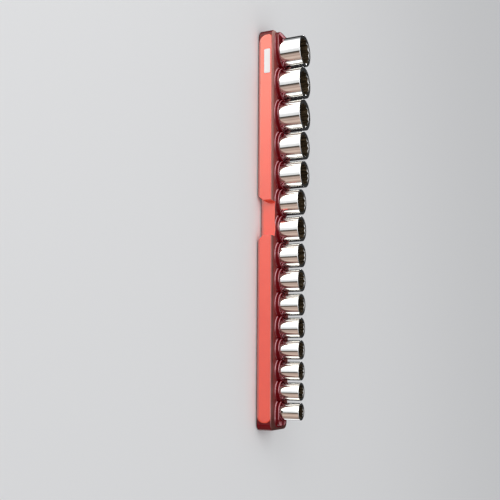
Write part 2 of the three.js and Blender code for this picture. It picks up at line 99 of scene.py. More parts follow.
PAD_TOP_ROUNDING = 0.8
NOTCH_LENGTH = 46.7
NOTCH_CENTRE = -5.75
NOTCH_CHAMFER = 7.0
NOTCH_FRONT_WALL = 0.6
LABEL_LENGTH = 34.0
LABEL_HEIGHT = 8.6
LABEL_FROM_PAD_END = 21.2
LABEL_FOOT = 9.5
LABEL_RADIUS = 1.2
LABEL_RECESS = 1.0
SCREW_RADIUS = 1.4
SCREW_LENGTH = 12.0
SCREW_POST_WALL = 2.2

# The sockets. A turn is a share of a full one.
DRIVE_DEPTH = 18.5
WEB = 2.5
DRIVE_ACROSS = 13.0
DRIVE_CORNER = 0.8
THROUGH_RADIUS = 5.25
DETENT_RADIUS = 1.3
DETENT_HEIGHT = 16.5
SOCKET_RIM = 0.45
SOCKET_BASE_EDGE = 0.6
MOUTH_LEAD = 0.45
MOUTH_LEAD_INSIDE = 1.0
MOUTH_LEAD_SLOPE = 0.6
OPENING_POINTS = 12
OPENING_TIP_SHARE = 0.012
HALF_TURN = 0.5
TURN_SPREAD_SHARE = 0.15
TURN_STEP = 2

# The small roundings of the CAD nodes that stay.
LABEL_EDGE = 0.25
MOUNT_MAGNET_EDGE = 0.4
NODE_EDGE_ANGLE = math.radians(50)

# How finely the curves are drawn, and where shading turns from smooth to sharp.
ROUND_SIDES = 96
HOLE_SIDES = 48
DETENT_SIDES = 32
PILOT_SIDES = 24
CORNER_STEPS = 14
DRIVE_CORNER_STEPS = 4
OPENING_TIP_STEPS = 3
EDGE_STEPS = 7
END_EDGE_STEPS = 14
NODE_EDGE_STEPS = 3
SMOOTH_ANGLE = math.radians(32)
FLAT_FACE_WEIGHT = 80

# Which of its object's materials a face takes: the tray has three, a socket two.
PAD_FACE = 0
BODY_FACE = 1
LEDGE_FACE = 2
OUTER_FACE = 0
INNER_FACE = 1

# Where the ledge's finish begins: shares of the upper roundings, and a height on the pads' feet. On
# the pads it is painted shade, with grime on their feet.
LEDGE_FINISH_SHARE = 0.7
PAD_SHADE_SHARE = 0.8
PAD_FOOT_GRIME_AND_SHADE = 4.1
LEVEL_TOLERANCE = 0.02


def vec(x, y):
    return Vector((x, y))


# ---- solids

def new_object(name, points, faces, material_index):
    """A closed mesh object with outward normals."""
    mesh = bpy.data.meshes.new(name)
    mesh.from_pydata([[v * MM for v in p] for p in points], [], faces)
    work = bmesh.new()
    work.from_mesh(mesh)
    bmesh.ops.recalc_face_normals(work, faces=work.faces)
    for face in work.faces:
        face.material_index = material_index
        face.smooth = True
    work.to_mesh(mesh)
    work.free()
    obj = bpy.data.objects.new(name, mesh)
    bpy.context.scene.collection.objects.link(obj)
    return obj


def loft(name, rings, material_index):
    """A solid whose skin runs through rings of equal length, closed by a flat cap at each end."""
    count = len(rings[0])
    points = [p for ring in rings for p in ring]
    faces = []
    for k in range(len(rings) - 1):
        here, above = k * count, (k + 1) * count
        for i in range(count):
            j = (i + 1) % count
            faces.append((here + i, here + j, above + j, above + i))
    faces.append(tuple(range(count)))
    top = (len(rings) - 1) * count
    faces.append(tuple(range(top, top + count)))
    return new_object(name, points, faces, material_index)


def turned(name, profile, x, y, material_index, sides=ROUND_SIDES):
    """A body of revolution from pairs of radius and height."""
    rings = []
    for radius, height in profile:
        ring = []
        for k in range(sides):
            angle = math.tau * (k + 0.5) / sides
            ring.append((x + radius * math.cos(angle), y + radius * math.sin(angle), height))
        rings.append(ring)
    return loft(name, rings, material_index)


def cylinder(name, radius, x, y, bottom, top, sides=HOLE_SIDES, material_index=BODY_FACE):
    return turned(name, [(radius, bottom), (radius, top)], x, y, material_index, sides)


def arc(centre, radius, start, end):
    """Points of an arc, angles in quarter turns."""
    points = []
    for k in range(EDGE_STEPS + 1):
        angle = (start + (end - start) * k / EDGE_STEPS) * math.pi / 2
        points.append((centre[0] + radius * math.cos(angle), centre[1] + radius * math.sin(angle)))
    return points


def rounded(corners, corner_radii, steps=CORNER_STEPS):
    """A polygon with each corner rounded by its own radius."""
    outline = []
    count = len(corners)
    for i, corner in enumerate(corners):
        to_before = (corners[i - 1] - corner).normalized()
        to_after = (corners[(i + 1) % count] - corner).normalized()
        half = math.acos(max(-1, min(1, to_before.dot(to_after)))) / 2
        radius = corner_radii[i]
        centre = corner + (to_before + to_after).normalized() * (radius / math.sin(half))
        first = corner + to_before * (radius / math.tan(half)) - centre
        last = corner + to_after * (radius / math.tan(half)) - centre
        start = math.atan2(first.y, first.x)
        sweep = math.remainder(math.atan2(last.y, last.x) - start, math.tau)
        for k in range(steps + 1):
            angle = start + sweep * k / steps
            outline.append(centre + radius * vec(math.cos(angle), math.sin(angle)))
    return outline


def inset_corners(corners, insets):
    """A convex polygon with each edge moved inwards by its own amount. Edge i starts at point i."""
    count = len(corners)
    lines = []
    for i, corner in enumerate(corners):
        along = (corners[(i + 1) % count] - corner).normalized()
        inward = vec(-along.y, along.x)
        lines.append((corner + inward * insets[i], along))
    moved = []
    for i, (start, along) in enumerate(lines):
        before, before_along = lines[i - 1]
        between = start - before
        reach = between.cross(along) / before_along.cross(along)
        moved.append(before + before_along * reach)
    return moved


def combine(base, others, operation):
    """Joins other solids to a base, or cuts them out of it, and removes them."""
    group = bpy.data.collections.new("operands")
    for other in others:
        group.objects.link(other)
    modifier = base.modifiers.new("combine", "BOOLEAN")
    modifier.operation = operation
    modifier.solver = "MANIFOLD"
    modifier.operand_type = "COLLECTION"
    modifier.collection = group
    depsgraph = bpy.context.evaluated_depsgraph_get()
    mesh = bpy.data.meshes.new_from_object(base.evaluated_get(depsgraph))
    base.modifiers.clear()
    old = base.data
    base.data = mesh
    bpy.data.meshes.remove(old)
    for other in others:
        data = other.data
        bpy.data.objects.remove(other)
        bpy.data.meshes.remove(data)
    bpy.data.collections.remove(group)


def join(base, *others):
    combine(base, others, "UNION")


def cut(base, *others):
    combine(base, others, "DIFFERENCE")


def finish_surface(obj, materials):
    """Smooth shading with crisp edges, flat faces kept flat, and the materials."""
    indices = [polygon.material_index for polygon in obj.data.polygons]
    obj.data.materials.clear()
    for material in materials:
        obj.data.materials.append(material)
    for polygon, index in zip(obj.data.polygons, indices):
        polygon.material_index = index
        polygon.use_smooth = True
    obj.data.set_sharp_from_angle(angle=SMOOTH_ANGLE)
    weighted = obj.modifiers.new("flat_faces", "WEIGHTED_NORMAL")
    weighted.keep_sharp = True
    weighted.weight = FLAT_FACE_WEIGHT
    return obj


# ---- what the CAD model says

def socket_name(i):
    return f"socket_{i + 1:02d}"


boxes = [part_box(socket_name(i)) for i in range(SOCKET_COUNT)]
places = [(low.x + high.x) / 2 / MM for low, high in boxes]
openings = {o["name"]: o["box_m"] for o in frame["record"]["physics"]["openings"]}


def outer_radius(i):
    """Diameters are whole or half millimetres, so the facets' small loss is rounded away."""
    low, high = boxes[i]
    across = max(high.x - low.x, high.y - low.y) / MM
    return round(across * 2) / 4


def across_flats(i):
    """Whole millimetres. The record's box is the square that fits in the opening, less the gap."""
    low, high = openings[f"mouth_{i + 1:02d}"]
    half = (high[0] - low[0]) / 2 / MM + GAP
    return round(half * 2 * math.sqrt(2))


radii = [outer_radius(i) for i in range(SOCKET_COUNT)]
pocket_radii = [radius + POCKET_CLEARANCE for radius in radii]
collar_radii = [radius + COLLAR_WALL for radius in pocket_radii]
tray_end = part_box("tray_body")[1].x / MM
half_large = collar_radii[0] + LEDGE_LARGE_END
half_small = collar_radii[LAST] + LEDGE_SMALL_END
slope = (half_small - half_large) / (places[LAST] - places[0])
taper = math.atan(slope)


def half_width(x):
    return half_large + slope * (x - places[0])


def screw_places():
    found = []
    for k in range(SCREW_COUNT):
        low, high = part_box(f"base_screw_{k + 1}")
        middle = (low + high) / 2 / MM
        found.append((middle.x, middle.y))
    return found


# ---- tray solids

def end_sign(at_large_end):
    """Which way along the row an end lies."""
    return -1 if at_large_end else 1


def tray_ring(z, side_inset, small_end_inset, large_end_inset):
    """The slab's outline at a height, drawn in at its sides and ends."""
    corners = [
        vec(-tray_end, -half_width(-tray_end)),
        vec(tray_end, -half_width(tray_end)),
        vec(tray_end, half_width(tray_end)),
        vec(-tray_end, half_width(-tray_end)),
    ]
    inner = inset_corners(corners, [side_inset, small_end_inset, side_inset, large_end_inset])
    large = max(END_RADIUS_LARGE - side_inset, LEAST_RADIUS)
    small = max(END_RADIUS_SMALL - side_inset, LEAST_RADIUS)
    return [(p.x, p.y, z) for p in rounded(inner, [large, small, small, large])]


def even_ring(z, inset):
    return tray_ring(z, inset, inset, inset)


def edge_inset(edge, z):
    """How far a rounded upper edge of the slab has drawn in at a height."""
    into = max(z - (LEDGE_HEIGHT - edge), 0)
    return edge - math.sqrt(max(edge ** 2 - into ** 2, 0))


def slab_solid():
    """The tray's slab with a small edge at its foot and rounded upper edges."""
    rings = [even_ring(TRAY_BOTTOM, FOOT_EDGE), even_ring(TRAY_BOTTOM + FOOT_EDGE, 0)]
    start = LEDGE_HEIGHT - END_EDGE_LARGE
    for k in range(END_EDGE_STEPS + 1):
        z = start + END_EDGE_LARGE * math.sin(math.pi / 2 * k / END_EDGE_STEPS)
        edges = (LEDGE_EDGE, END_EDGE_SMALL, END_EDGE_LARGE)
        rings.append(tray_ring(z, *[edge_inset(edge, z) for edge in edges]))
    return loft("magnetic_tray", rings, BODY_FACE)


def side_point(side, along, depth, z):
    """A point by its place along a long side and its depth behind it."""
    x = along * math.cos(taper) + depth * math.sin(taper)
    y = half_width(0) + along * math.sin(taper) - depth * math.cos(taper)
    return (x, side * y, z)


def side_ring(side, outline, depth):
    return [side_point(side, p.x, depth, p.y) for p in outline]


def side_block(name, side, outline, near, far):
    rings = [side_ring(side, outline, near), side_ring(side, outline, far)]
    return loft(name, rings, PAD_FACE)


def notch_depth():
    """As deep as the collars beside the notch allow."""
    reach = NOTCH_LENGTH / 2 + NOTCH_CHAMFER
    depth = half_large
    for place, radius in zip(places, collar_radii):
        away = abs(place - NOTCH_CENTRE)
        if away < reach + radius:
            aside = max(away - reach, 0)
            front = math.sqrt(max(radius ** 2 - aside ** 2, 0))
            depth = min(depth, half_width(place) - front)
    return depth - NOTCH_FRONT_WALL


def notch_outline(margin):
    start = NOTCH_CENTRE - NOTCH_LENGTH / 2 - margin
    end = NOTCH_CENTRE + NOTCH_LENGTH / 2 + margin
    chamfer_top = TRAY_BOTTOM + NOTCH_CHAMFER
    bottom = -OVERRUN
    widening = chamfer_top - bottom
    top = COLLAR_TOP + OVERRUN
    return [
        vec(start - widening, bottom),
        vec(end + widening, bottom),
        vec(end, chamfer_top),
        vec(end, top),
        vec(start, top),
        vec(start, chamfer_top),
    ]


def notch_blocks(margin):
    """The space of the finger notch in each long side, or with a margin the wall round it."""
    front = -PAD_PROUD - OVERRUN
    back = notch_depth() + margin
    outline = notch_outline(margin)
    return [side_block("notch", side, outline, front, back) for side in (-1, 1)]


def pad_solid(side, at_large_end):
    """A raised pad whose face crowns into its edges. Rounding i is of the edge after corner i."""
    mirror = end_sign(at_large_end)
    shares = PAD_END_SHARES_LARGE if at_large_end else PAD_END_SHARES_SMALL
    outer = tray_end - PAD_STEP
    inner = NOTCH_LENGTH / 2 + NOTCH_CENTRE * mirror
    corners = [
        vec(inner + NOTCH_CHAMFER, TRAY_BOTTOM),
        vec(outer, TRAY_BOTTOM),
        vec(outer, LEDGE_HEIGHT),
        vec(inner, LEDGE_HEIGHT),
        vec(inner, TRAY_BOTTOM + NOTCH_CHAMFER),
    ]
    height = LEDGE_HEIGHT - TRAY_BOTTOM
    foot_radius, top_radius = (height * share for share in shares)
    corner_radii = [PAD_NOTCH_RADIUS, foot_radius, top_radius, PAD_NOTCH_RADIUS, PAD_NOTCH_RADIUS]
    rounding = [PAD_FOOT_ROUNDING, PAD_END_ROUNDING] + [PAD_TOP_ROUNDING] * 3

    def ring(outline, depth):
        return side_ring(side, [vec(p.x * mirror, p.y) for p in outline], depth)

    rings = []
    for k in range(EDGE_STEPS + 1):
        angle = math.pi / 2 * k / EDGE_STEPS
        insets = [size * (1 - math.sin(angle)) for size in rounding]
        lessened = [
            max(radius - max(insets[i - 1], insets[i]), LEAST_RADIUS)
            for i, radius in enumerate(corner_radii)
        ]
        outline = rounded(inset_corners(corners, insets), lessened)
        rings.append(ring(outline, -PAD_PROUD * math.cos(angle)))
    rings.append(ring(rounded(corners, corner_radii), SHELL_WALL / 2))
    return loft("pad", rings, PAD_FACE)


def label_space():
    """The recess of the label plate."""
    start = -(tray_end - PAD_STEP) + LABEL_FROM_PAD_END - GAP
    end = start + LABEL_LENGTH + 2 * GAP
    foot = LABEL_FOOT - GAP
    top = LABEL_FOOT + LABEL_HEIGHT + GAP
    corners = [vec(start, foot), vec(end, foot), vec(end, top), vec(start, top)]
    outline = rounded(corners, [LABEL_RADIUS] * 4)
    near = -PAD_PROUD - OVERRUN
    return side_block("label_recess", -1, outline, near, LABEL_RECESS - PAD_PROUD)


def collar_solid(i):
    """A collar with a hollow curve at its foot and a rounded rim."""
    radius = collar_radii[i]
    profile = [(radius + COLLAR_FOOT, MID_SKIN), (radius + COLLAR_FOOT, LEDGE_HEIGHT)]
    centre = (radius + COLLAR_FOOT, LEDGE_HEIGHT + COLLAR_FOOT)
    profile += arc(centre, COLLAR_FOOT, 3, 2)[1:]
    profile += arc((radius - COLLAR_RIM, COLLAR_TOP - COLLAR_RIM), COLLAR_RIM, 0, 1)
    return turned("collar", profile, places[i], 0, BODY_FACE)


def end_collar_outline(at_large_end, end_growth, flank_growth):
    """Outline of the raised block that squares off the row of collars at one end."""
    i = 0 if at_large_end else LAST
    radius = collar_radii[i]
    if at_large_end:
        reach = places[0] - radius + tray_end - END_COLLAR_SHORT_OF_END
        corner_radius = END_COLLAR_RADIUS_LARGE
    else:
        reach = END_COLLAR_REACH_SMALL
        corner_radius = END_COLLAR_RADIUS_SMALL
    far = radius + reach
    corners = [vec(0, -radius), vec(far, -radius), vec(far, radius), vec(0, radius)]
    grown = inset_corners(corners, [-flank_growth, -end_growth, -flank_growth, 0])
    outer = corner_radius + flank_growth
    outline = rounded(grown, [LEAST_RADIUS, outer, outer, LEAST_RADIUS])
    return [vec(places[i] + end_sign(at_large_end) * p.x, p.y) for p in outline]


def end_collar_solid(at_large_end):
    """The end block, with the collars' hollow foot and rim, but no foot on the large end's face."""
    foot = 0 if at_large_end else 1

    def ring(growth, z):
        end_growth = growth * foot if growth > 0 else growth
        return [(p.x, p.y, z) for p in end_collar_outline(at_large_end, end_growth, growth)]

    rings = [ring(COLLAR_FOOT, MID_SKIN)]
    for growth, z in arc((COLLAR_FOOT, LEDGE_HEIGHT + COLLAR_FOOT), COLLAR_FOOT, 3, 2):
        rings.append(ring(growth, z))
    for growth, z in arc((-COLLAR_RIM, COLLAR_TOP - COLLAR_RIM), COLLAR_RIM, 0, 1):
        rings.append(ring(growth, z))
    return loft("end_collar", rings, BODY_FACE)


def pocket_space(i):
    radius = pocket_radii[i]
    profile = [
        (radius - POCKET_FLOOR_EDGE, POCKET_FLOOR),
        (radius, POCKET_FLOOR + POCKET_FLOOR_EDGE),
        (radius, COLLAR_TOP - POCKET_LEAD),
        (radius + POCKET_LEAD, COLLAR_TOP),
        (radius + POCKET_LEAD, COLLAR_TOP + OVERRUN),
    ]
    return turned("pocket", profile, places[i], 0, BODY_FACE)


def magnet_space(place):
    radius = MAGNET_DIAMETER / 2 + GAP
    return cylinder("magnet_space", radius, place, 0, TRAY_BOTTOM - OVERRUN, POCKET_FLOOR_UNDERSIDE)


def trough_solid():
    """The walls and floors of the pockets, inside the tray."""
    reach = [radius + CUP_WALL for radius in pocket_radii]
    side = [(places[0] - reach[0], -reach[0])]
    side += [(place, -far) for place, far in zip(places, reach)]
    side.append((places[LAST] + reach[LAST], -reach[LAST]))
    outline = side + [(x, -y) for x, y in reversed(side)]
    rings = [[(x, y, z) for x, y in outline] for z in (POCKET_FLOOR_UNDERSIDE, MID_SKIN)]
    return loft("trough", rings, BODY_FACE)


def hollow_solid():
    """The space inside the tray, round what stands in it."""
    bottom, top = TRAY_BOTTOM - OVERRUN, LEDGE_HEIGHT - LEDGE_SKIN
    rings = [even_ring(bottom, SHELL_WALL), even_ring(top, SHELL_WALL)]
    hollow = loft("hollow", rings, BODY_FACE)
    inside = notch_blocks(SHELL_WALL) + [trough_solid()]
    ring_radius = MAGNET_DIAMETER / 2 + GAP + MAGNET_RING_WALL
    for place in places:
        inside.append(cylinder("ring", ring_radius, place, 0, MAGNET_BOTTOM, POCKET_FLOOR))
    post_radius = SCREW_RADIUS + GAP + SCREW_POST_WALL
    for x, y in screw_places():
        inside.append(cylinder("post", post_radius, x, y, MAGNET_BOTTOM, MID_SKIN))
    for piece in inside:
        cut(hollow, piece)
    return hollow


def pilot_space(x, y):
    """The hole of a screw in its post."""
    top = TRAY_BOTTOM + SCREW_LENGTH + 2 * GAP
    bottom = TRAY_BOTTOM - OVERRUN
    return cylinder("pilot", SCREW_RADIUS + GAP, x, y, bottom, top, PILOT_SIDES)


def mark_ledge(body):
    """Gives the level ledge, the roundings beside it and the pads' feet a finish of their own. On
    the pads' upper roundings this finish is painted shade, and on the pads' feet grime and painted
    shade.
    """
    lowest = {
        BODY_FACE: LEDGE_HEIGHT - LEDGE_EDGE * LEDGE_FINISH_SHARE,
        PAD_FACE: LEDGE_HEIGHT - PAD_TOP_ROUNDING * PAD_SHADE_SHARE,
    }
    for polygon in body.data.polygons:
        index = polygon.material_index
        heights = [body.data.vertices[v].co.z / MM for v in polygon.vertices]
        bottom, top = min(heights), max(heights)
        on_foot = index == PAD_FACE and top < PAD_FOOT_GRIME_AND_SHADE
        on_ledge = bottom > lowest[index] and top < LEDGE_HEIGHT + LEVEL_TOLERANCE
        if on_foot or on_ledge:
            polygon.material_index = LEDGE_FACE


def build_tray():
    body = slab_solid()
    join(body, *[pad_solid(side, large) for side in (-1, 1) for large in (True, False)])
    collars = [collar_solid(i) for i in range(SOCKET_COUNT)]
    for collar in collars + [end_collar_solid(True), end_collar_solid(False)]:
        join(body, collar)
    cut(body, hollow_solid())
    cut(body, *notch_blocks(0))
    cut(body, label_space())
    cut(body, *[pocket_space(i) for i in range(SOCKET_COUNT)])
    cut(body, *[magnet_space(place) for place in places])
    cut(body, *[pilot_space(x, y) for x, y in screw_places()])
    mark_ledge(body)
    return body


# ---- sockets

def twelve_points(flats):
    """Outline of a twelve-point opening with small curves in its points."""
    tip = flats / math.sqrt(3)
    valley = flats / 2 / math.cos(math.pi / OPENING_POINTS)
    corners = []
    for k in range(OPENING_POINTS * 2):
        radius = valley if k % 2 else tip
        angle = math.pi * k / OPENING_POINTS
        corners.append(vec(radius * math.cos(angle), radius * math.sin(angle)))
    return rounded(corners, [flats * OPENING_TIP_SHARE] * len(corners), OPENING_TIP_STEPS)


def upright(name, outline, bottom, top):
    rings = [[(p.x, p.y, z) for p in outline] for z in (bottom, top)]
    return loft(name, rings, INNER_FACE)


def socket_turn(i):
    """The last socket shows its detent hole on the label side, the others hide theirs."""
    steps = LAST - i
    if not steps:
        return 0.0
    return math.tau * (HALF_TURN + TURN_SPREAD_SHARE * math.sin(steps * TURN_STEP))


def socket_spaces(i, length):
    """What is cut out of a socket: opening, lead-in, drive square, through hole and detent hole."""
    flats = across_flats(i)
    floor = DRIVE_DEPTH + WEB
    opening = upright("opening", twelve_points(flats), floor, length + OVERRUN)
    tip = flats / math.sqrt(3) + MOUTH_LEAD
    inside = flats / 2 - MOUTH_LEAD_INSIDE
    lead_bottom = length - (tip - inside) * MOUTH_LEAD_SLOPE
    lead_profile = [(inside, lead_bottom), (tip, length), (tip, length + OVERRUN)]
    lead = turned("lead_in", lead_profile, 0, 0, OUTER_FACE)
    half = DRIVE_ACROSS / 2
    corners = [vec(-half, -half), vec(half, -half), vec(half, half), vec(-half, half)]
    square = rounded(corners, [DRIVE_CORNER] * 4, DRIVE_CORNER_STEPS)
    drive = upright("drive", square, -OVERRUN, DRIVE_DEPTH)
    bottom, top = DRIVE_DEPTH - OVERRUN, floor + OVERRUN
    through = cylinder("through", THROUGH_RADIUS, 0, 0, bottom, top, HOLE_SIDES, INNER_FACE)
    reach = radii[i] + OVERRUN
    detent = cylinder("detent", DETENT_RADIUS, 0, 0, 0, reach, DETENT_SIDES, INNER_FACE)
    lift = Matrix.Translation((0, 0, DETENT_HEIGHT * MM))
    detent.data.transform(lift @ Matrix.Rotation(math.pi / 2, 4, "X"))
    return [opening, lead, drive, through, detent]


def build_socket(i):
    radius = radii[i]
    low, high = boxes[i]
    length = (high.z - low.z) / MM
    profile = arc((radius - SOCKET_BASE_EDGE, SOCKET_BASE_EDGE), SOCKET_BASE_EDGE, -1, 0)
    profile += arc((radius - SOCKET_RIM, length - SOCKET_RIM), SOCKET_RIM, 0, 1)
    body = turned(f"chrome_{socket_name(i)}", profile, 0, 0, OUTER_FACE)
    for space in socket_spaces(i, length):
        cut(body, space)
    turn = Matrix.Rotation(socket_turn(i), 4, "Z")
    body.data.transform(Matrix.Translation((places[i] * MM, 0, low.z)) @ turn)
    return body


# ---- materials

class Graph:
    """A node tree with short ways to add nodes. A value is plain or another node's output."""

    def __init__(self, tree):
        self.nodes = tree.nodes
        self.links = tree.links

    def put(self, socket, value):
        if isinstance(value, bpy.types.NodeSocket):
            self.links.new(value, socket)
        else:
            socket.default_value = value

    def fill(self, made, values):
        for key, value in values.items():
            self.put(made.inputs[key], value)

    def add(self, kind, values=None, **settings):
        made = self.nodes.new(kind)
        for key, value in settings.items():
            setattr(made, key, value)
        self.fill(made, values or {})
        return made

    def position(self):
        """Where a point lies on the object, in metres."""
        return self.add("ShaderNodeTexCoord").outputs["Object"]

    def axes(self, vector):
        parts = self.add("ShaderNodeSeparateXYZ", {"Vector": vector})
        return [parts.outputs[axis] for axis in "XYZ"]

    def noise(self, vector, scale, detail, roughness=0.55):
        made = self.add("ShaderNodeTexNoise", {
            "Vector": vector, "Scale": scale, "Detail": detail, "Roughness": roughness,
        })
        return made.outputs["Fac"]

    def streaks(self, vector, scales, detail):
        """Noise with a scale of its own along each axis."""
        stretch = self.add("ShaderNodeMapping", {"Vector": vector, "Scale": scales})
        return self.noise(stretch.outputs["Vector"], 1, detail)

    def spread(self, value, low, high, from_low=0.3, from_high=0.7):
        """A value mapped to a range of its own, by default from the middle of a noise."""
        made = self.add("ShaderNodeMapRange", {
            "Value": value, "From Min": from_low, "From Max": from_high,
            "To Min": low, "To Max": high,
        })
        return made.outputs["Result"]

    def uneven(self, value, patches, shares):
        """A number that patches vary between two shares of itself."""
        return self.spread(patches, *[value * share for share in shares])

    def fade(self, value, low, high, limits):
        """Runs from low to high as a value in metres runs between limits in millimetres."""
        return self.spread(value, low, high, *[limit * MM for limit in limits])

    def within(self, value, limits):
        """One where a value in metres lies between two limits in millimetres."""
        low, high = limits
        return self.calculate("COMPARE", value, (low + high) / 2 * MM, (high - low) / 2 * MM)

    def calculate(self, operation, *values):
        made = self.add("ShaderNodeMath", dict(enumerate(values)), operation=operation)
        return made.outputs[0]

    def product(self, first, *others):
        for other in others:
            first = self.calculate("MULTIPLY", first, other)
        return first

    def highest(self, first, *others):
        for other in others:
            first = self.calculate("MAXIMUM", first, other)
        return first

    def patchy(self, mask, vector, scale, detail, least):
        """A mask that cloudy patches weaken, down to a least share."""
        return self.product(mask, self.spread(self.noise(vector, scale, detail), least, 1))

    def mix(self, value, below, above):
        """From one colour to another as the value rises."""
        made = self.add("ShaderNodeMix", {"Factor": value}, data_type="RGBA")
        sockets = [s for s in made.inputs if s.type == "RGBA"]
        for socket, colour in zip(sockets, (below, above)):
            self.put(socket, (*colour, 1) if isinstance(colour, tuple) else colour)
        return next(o for o in made.outputs if o.type == "RGBA")

    def bump(self, height, distance, strength, before=None):
        """A normal from a height, with the distance in millimetres."""
        values = {"Height": height, "Distance": distance * MM, "Strength": strength}
        if before is not None:
            values["Normal"] = before
        return self.add("ShaderNodeBump", values).outputs["Normal"]

    def background(self, colour, strength=1):
        made = self.add("ShaderNodeBackground", {"Color": colour, "Strength": strength})
        return made.outputs["Background"]

    def mix_shaders(self, value, below, above):
        made = self.add("ShaderNodeMixShader", {0: value, 1: below, 2: above})
        return made.outputs["Shader"]


def new_material(name):
    material = bpy.data.materials.new(name)
    material.use_nodes = True
    graph = Graph(material.node_tree)
    return material, graph, graph.nodes["Principled BSDF"]


# The darkest and the lightest colour of a finish, and how much a roughness varies, in shares.
CHROME_COLOURS = ((0.80, 0.80, 0.81), (0.90, 0.90, 0.90))
BROACHED_COLOURS = ((0.035, 0.028, 0.018), (0.40, 0.30, 0.18))
RUBBER_COLOURS = ((0.018, 0.018, 0.019), (0.036, 0.035, 0.034))
MOULDED_UNEVENNESS = (0.82, 1.2)
PLATED_UNEVENNESS = (0.7, 1.3)

# How far a surface faces along the row, between full painted highlight and none.
HIGHLIGHT_FACING = (-0.1, 0.2)

# Where painted highlights, painted shade, grime and a paler tone lie on the tray. Pairs are limits
# along the row, inwards or upwards, and a single number is the strength there.
COLLAR_BANDS = (
    (COLLAR_TOP - 1.3, COLLAR_TOP - 0.35),
    (LEDGE_HEIGHT + 0.04, LEDGE_HEIGHT + 0.7),
)
LARGE_BLOCK_END = (places[0] - 21, places[0] - 13)
LARGE_BLOCK_HIGHLIGHT = 0.1
LARGE_BLOCK_TOP = (COLLAR_TOP - 0.15, COLLAR_TOP + 0.1)
LARGE_BLOCK_TOP_REACH = (2.0 - tray_end, 6.2 - tray_end)
SMALL_BLOCK_RIM = (COLLAR_TOP - 0.8, COLLAR_TOP + 0.1)
SMALL_BLOCK_END = (places[LAST] + 12, places[LAST] + 16)
SMALL_BLOCK_CORNERS = (2, 6)
SMALL_BLOCK_HIGHLIGHT = 0.7
GRIME_AND_SHADE_RISE = (1.6, 5.2)
GRIME_AND_SHADE_MOST = 0.85
PALING_REACH = (-tray_end, tray_end * 0.4)
INNER_LEDGE = (4.6, 7.6)
INNER_LEDGE_ENDS = (places[LAST] - 8, places[LAST] + 8)
INNER_LEDGE_SMALL_END = 0.55
EDGE_LIGHT_AND_SHADE = (-1.0, 2.2)
EDGE_LIGHT_AND_SHADE_ENDS = (tray_end - PAD_STEP - 6, tray_end - PAD_STEP)


def collar_highlights(graph, place):
    """Painted highlights, high on thin bands round the rim and foot of the collars where they face
    the large end.

    The painted highlights are high on the rims of the two end blocks too.
    """
    x, y, z = graph.axes(place)
    facing = graph.axes(graph.add("ShaderNodeNewGeometry").outputs["Normal"])[0]
    flanks = graph.product(
        graph.highest(*[graph.within(z, band) for band in COLLAR_BANDS]),
        graph.spread(facing, 1, 0, *HIGHLIGHT_FACING),
        graph.fade(x, LARGE_BLOCK_HIGHLIGHT, 1, LARGE_BLOCK_END),
    )
    large_block = graph.product(
        graph.within(z, LARGE_BLOCK_TOP), graph.within(x, LARGE_BLOCK_TOP_REACH))
    small_block = graph.product(
        graph.fade(x, 0, SMALL_BLOCK_HIGHLIGHT, SMALL_BLOCK_END),
        graph.fade(graph.calculate("ABSOLUTE", y), 0, 1, SMALL_BLOCK_CORNERS),
        graph.within(z, SMALL_BLOCK_RIM),
    )
    highlight_mask = graph.highest(flanks, large_block, small_block)
    return graph.patchy(highlight_mask, place, scale=240, detail=4, least=0.55)


def foot_grime_and_shade(graph, place):
    """Grime and painted shade, high where the pads turn in towards the surface that the tray lies
    on.
    """
    z = graph.axes(place)[2]
    low = graph.fade(z, GRIME_AND_SHADE_MOST, 0, GRIME_AND_SHADE_RISE)
    return graph.patchy(low, place, scale=140, detail=4, least=0.75)


def ledge_paling(graph, place):
    """High towards the large end."""
    x = graph.axes(place)[0]
    along = graph.fade(x, 1, 0, PALING_REACH)
    return graph.patchy(along, place, scale=55, detail=5, least=0.75)


def inwards(graph, x, y):
    """How far inside the long sides a point lies, in metres."""
    width = graph.calculate("MULTIPLY_ADD", x, slope, half_width(0) * MM)
    return graph.calculate("SUBTRACT", width, graph.calculate("ABSOLUTE", y))


def inner_ledge_highlight(graph, place):
    """A painted highlight, high on the ledge beside the collars and between them."""
    x, y, _ = graph.axes(place)
    inner = graph.product(
        graph.fade(inwards(graph, x, y), 0, 1, INNER_LEDGE),
        graph.fade(graph.calculate("ABSOLUTE", x), 1, 0, INNER_LEDGE_ENDS),
        graph.fade(x, 1, INNER_LEDGE_SMALL_END, (0, tray_end)),
    )
    return graph.patchy(inner, place, scale=90, detail=4, least=0.8)


def edge_light_and_shade(graph, place):
    """Painted light and shade on the rounded outer edges of the long sides, high there as far as
    the pads reach.
    """
    x, y, _ = graph.axes(place)
    return graph.product(
        graph.fade(inwards(graph, x, y), 1, 0, EDGE_LIGHT_AND_SHADE),
        graph.fade(graph.calculate("ABSOLUTE", x), 1, 0, EDGE_LIGHT_AND_SHADE_ENDS),
    )


def moulded(
    name, first, second, roughness, grain,
    gloss=0.5, coat=0.0, coat_roughness=0.3, coat_ior=1.5, overlays=(),
):
    """Moulded plastic: uneven colour and gloss, soft waves, a fine grain, and overlaid colours on
    top, among them painted highlights and painted shade.
    """
    material, graph, shader = new_material(name)
    place = graph.position()
    clouds = graph.noise(place, scale=28, detail=5)
    tint = graph.mix(graph.spread(clouds, 0, 1), first, second)
    for over, mask in overlays:
        tint = graph.mix(mask(graph, place), tint, over)
    specks = graph.noise(place, scale=420, detail=3)
    waves = graph.noise(place, scale=60, detail=2)
    fine = graph.noise(place, scale=2600, detail=2)
    wavy = graph.bump(waves, distance=0.3, strength=0.12)
    graph.fill(shader, {
        "Base Color": tint,
        "Roughness": graph.uneven(roughness, specks, MOULDED_UNEVENNESS),
        "Normal": graph.bump(fine, distance=0.04, strength=grain, before=wavy),
        "Specular IOR Level": gloss,
        "Coat Weight": coat,
        "Coat Roughness": coat_roughness,
        "Coat IOR": coat_ior,
    })
    return material


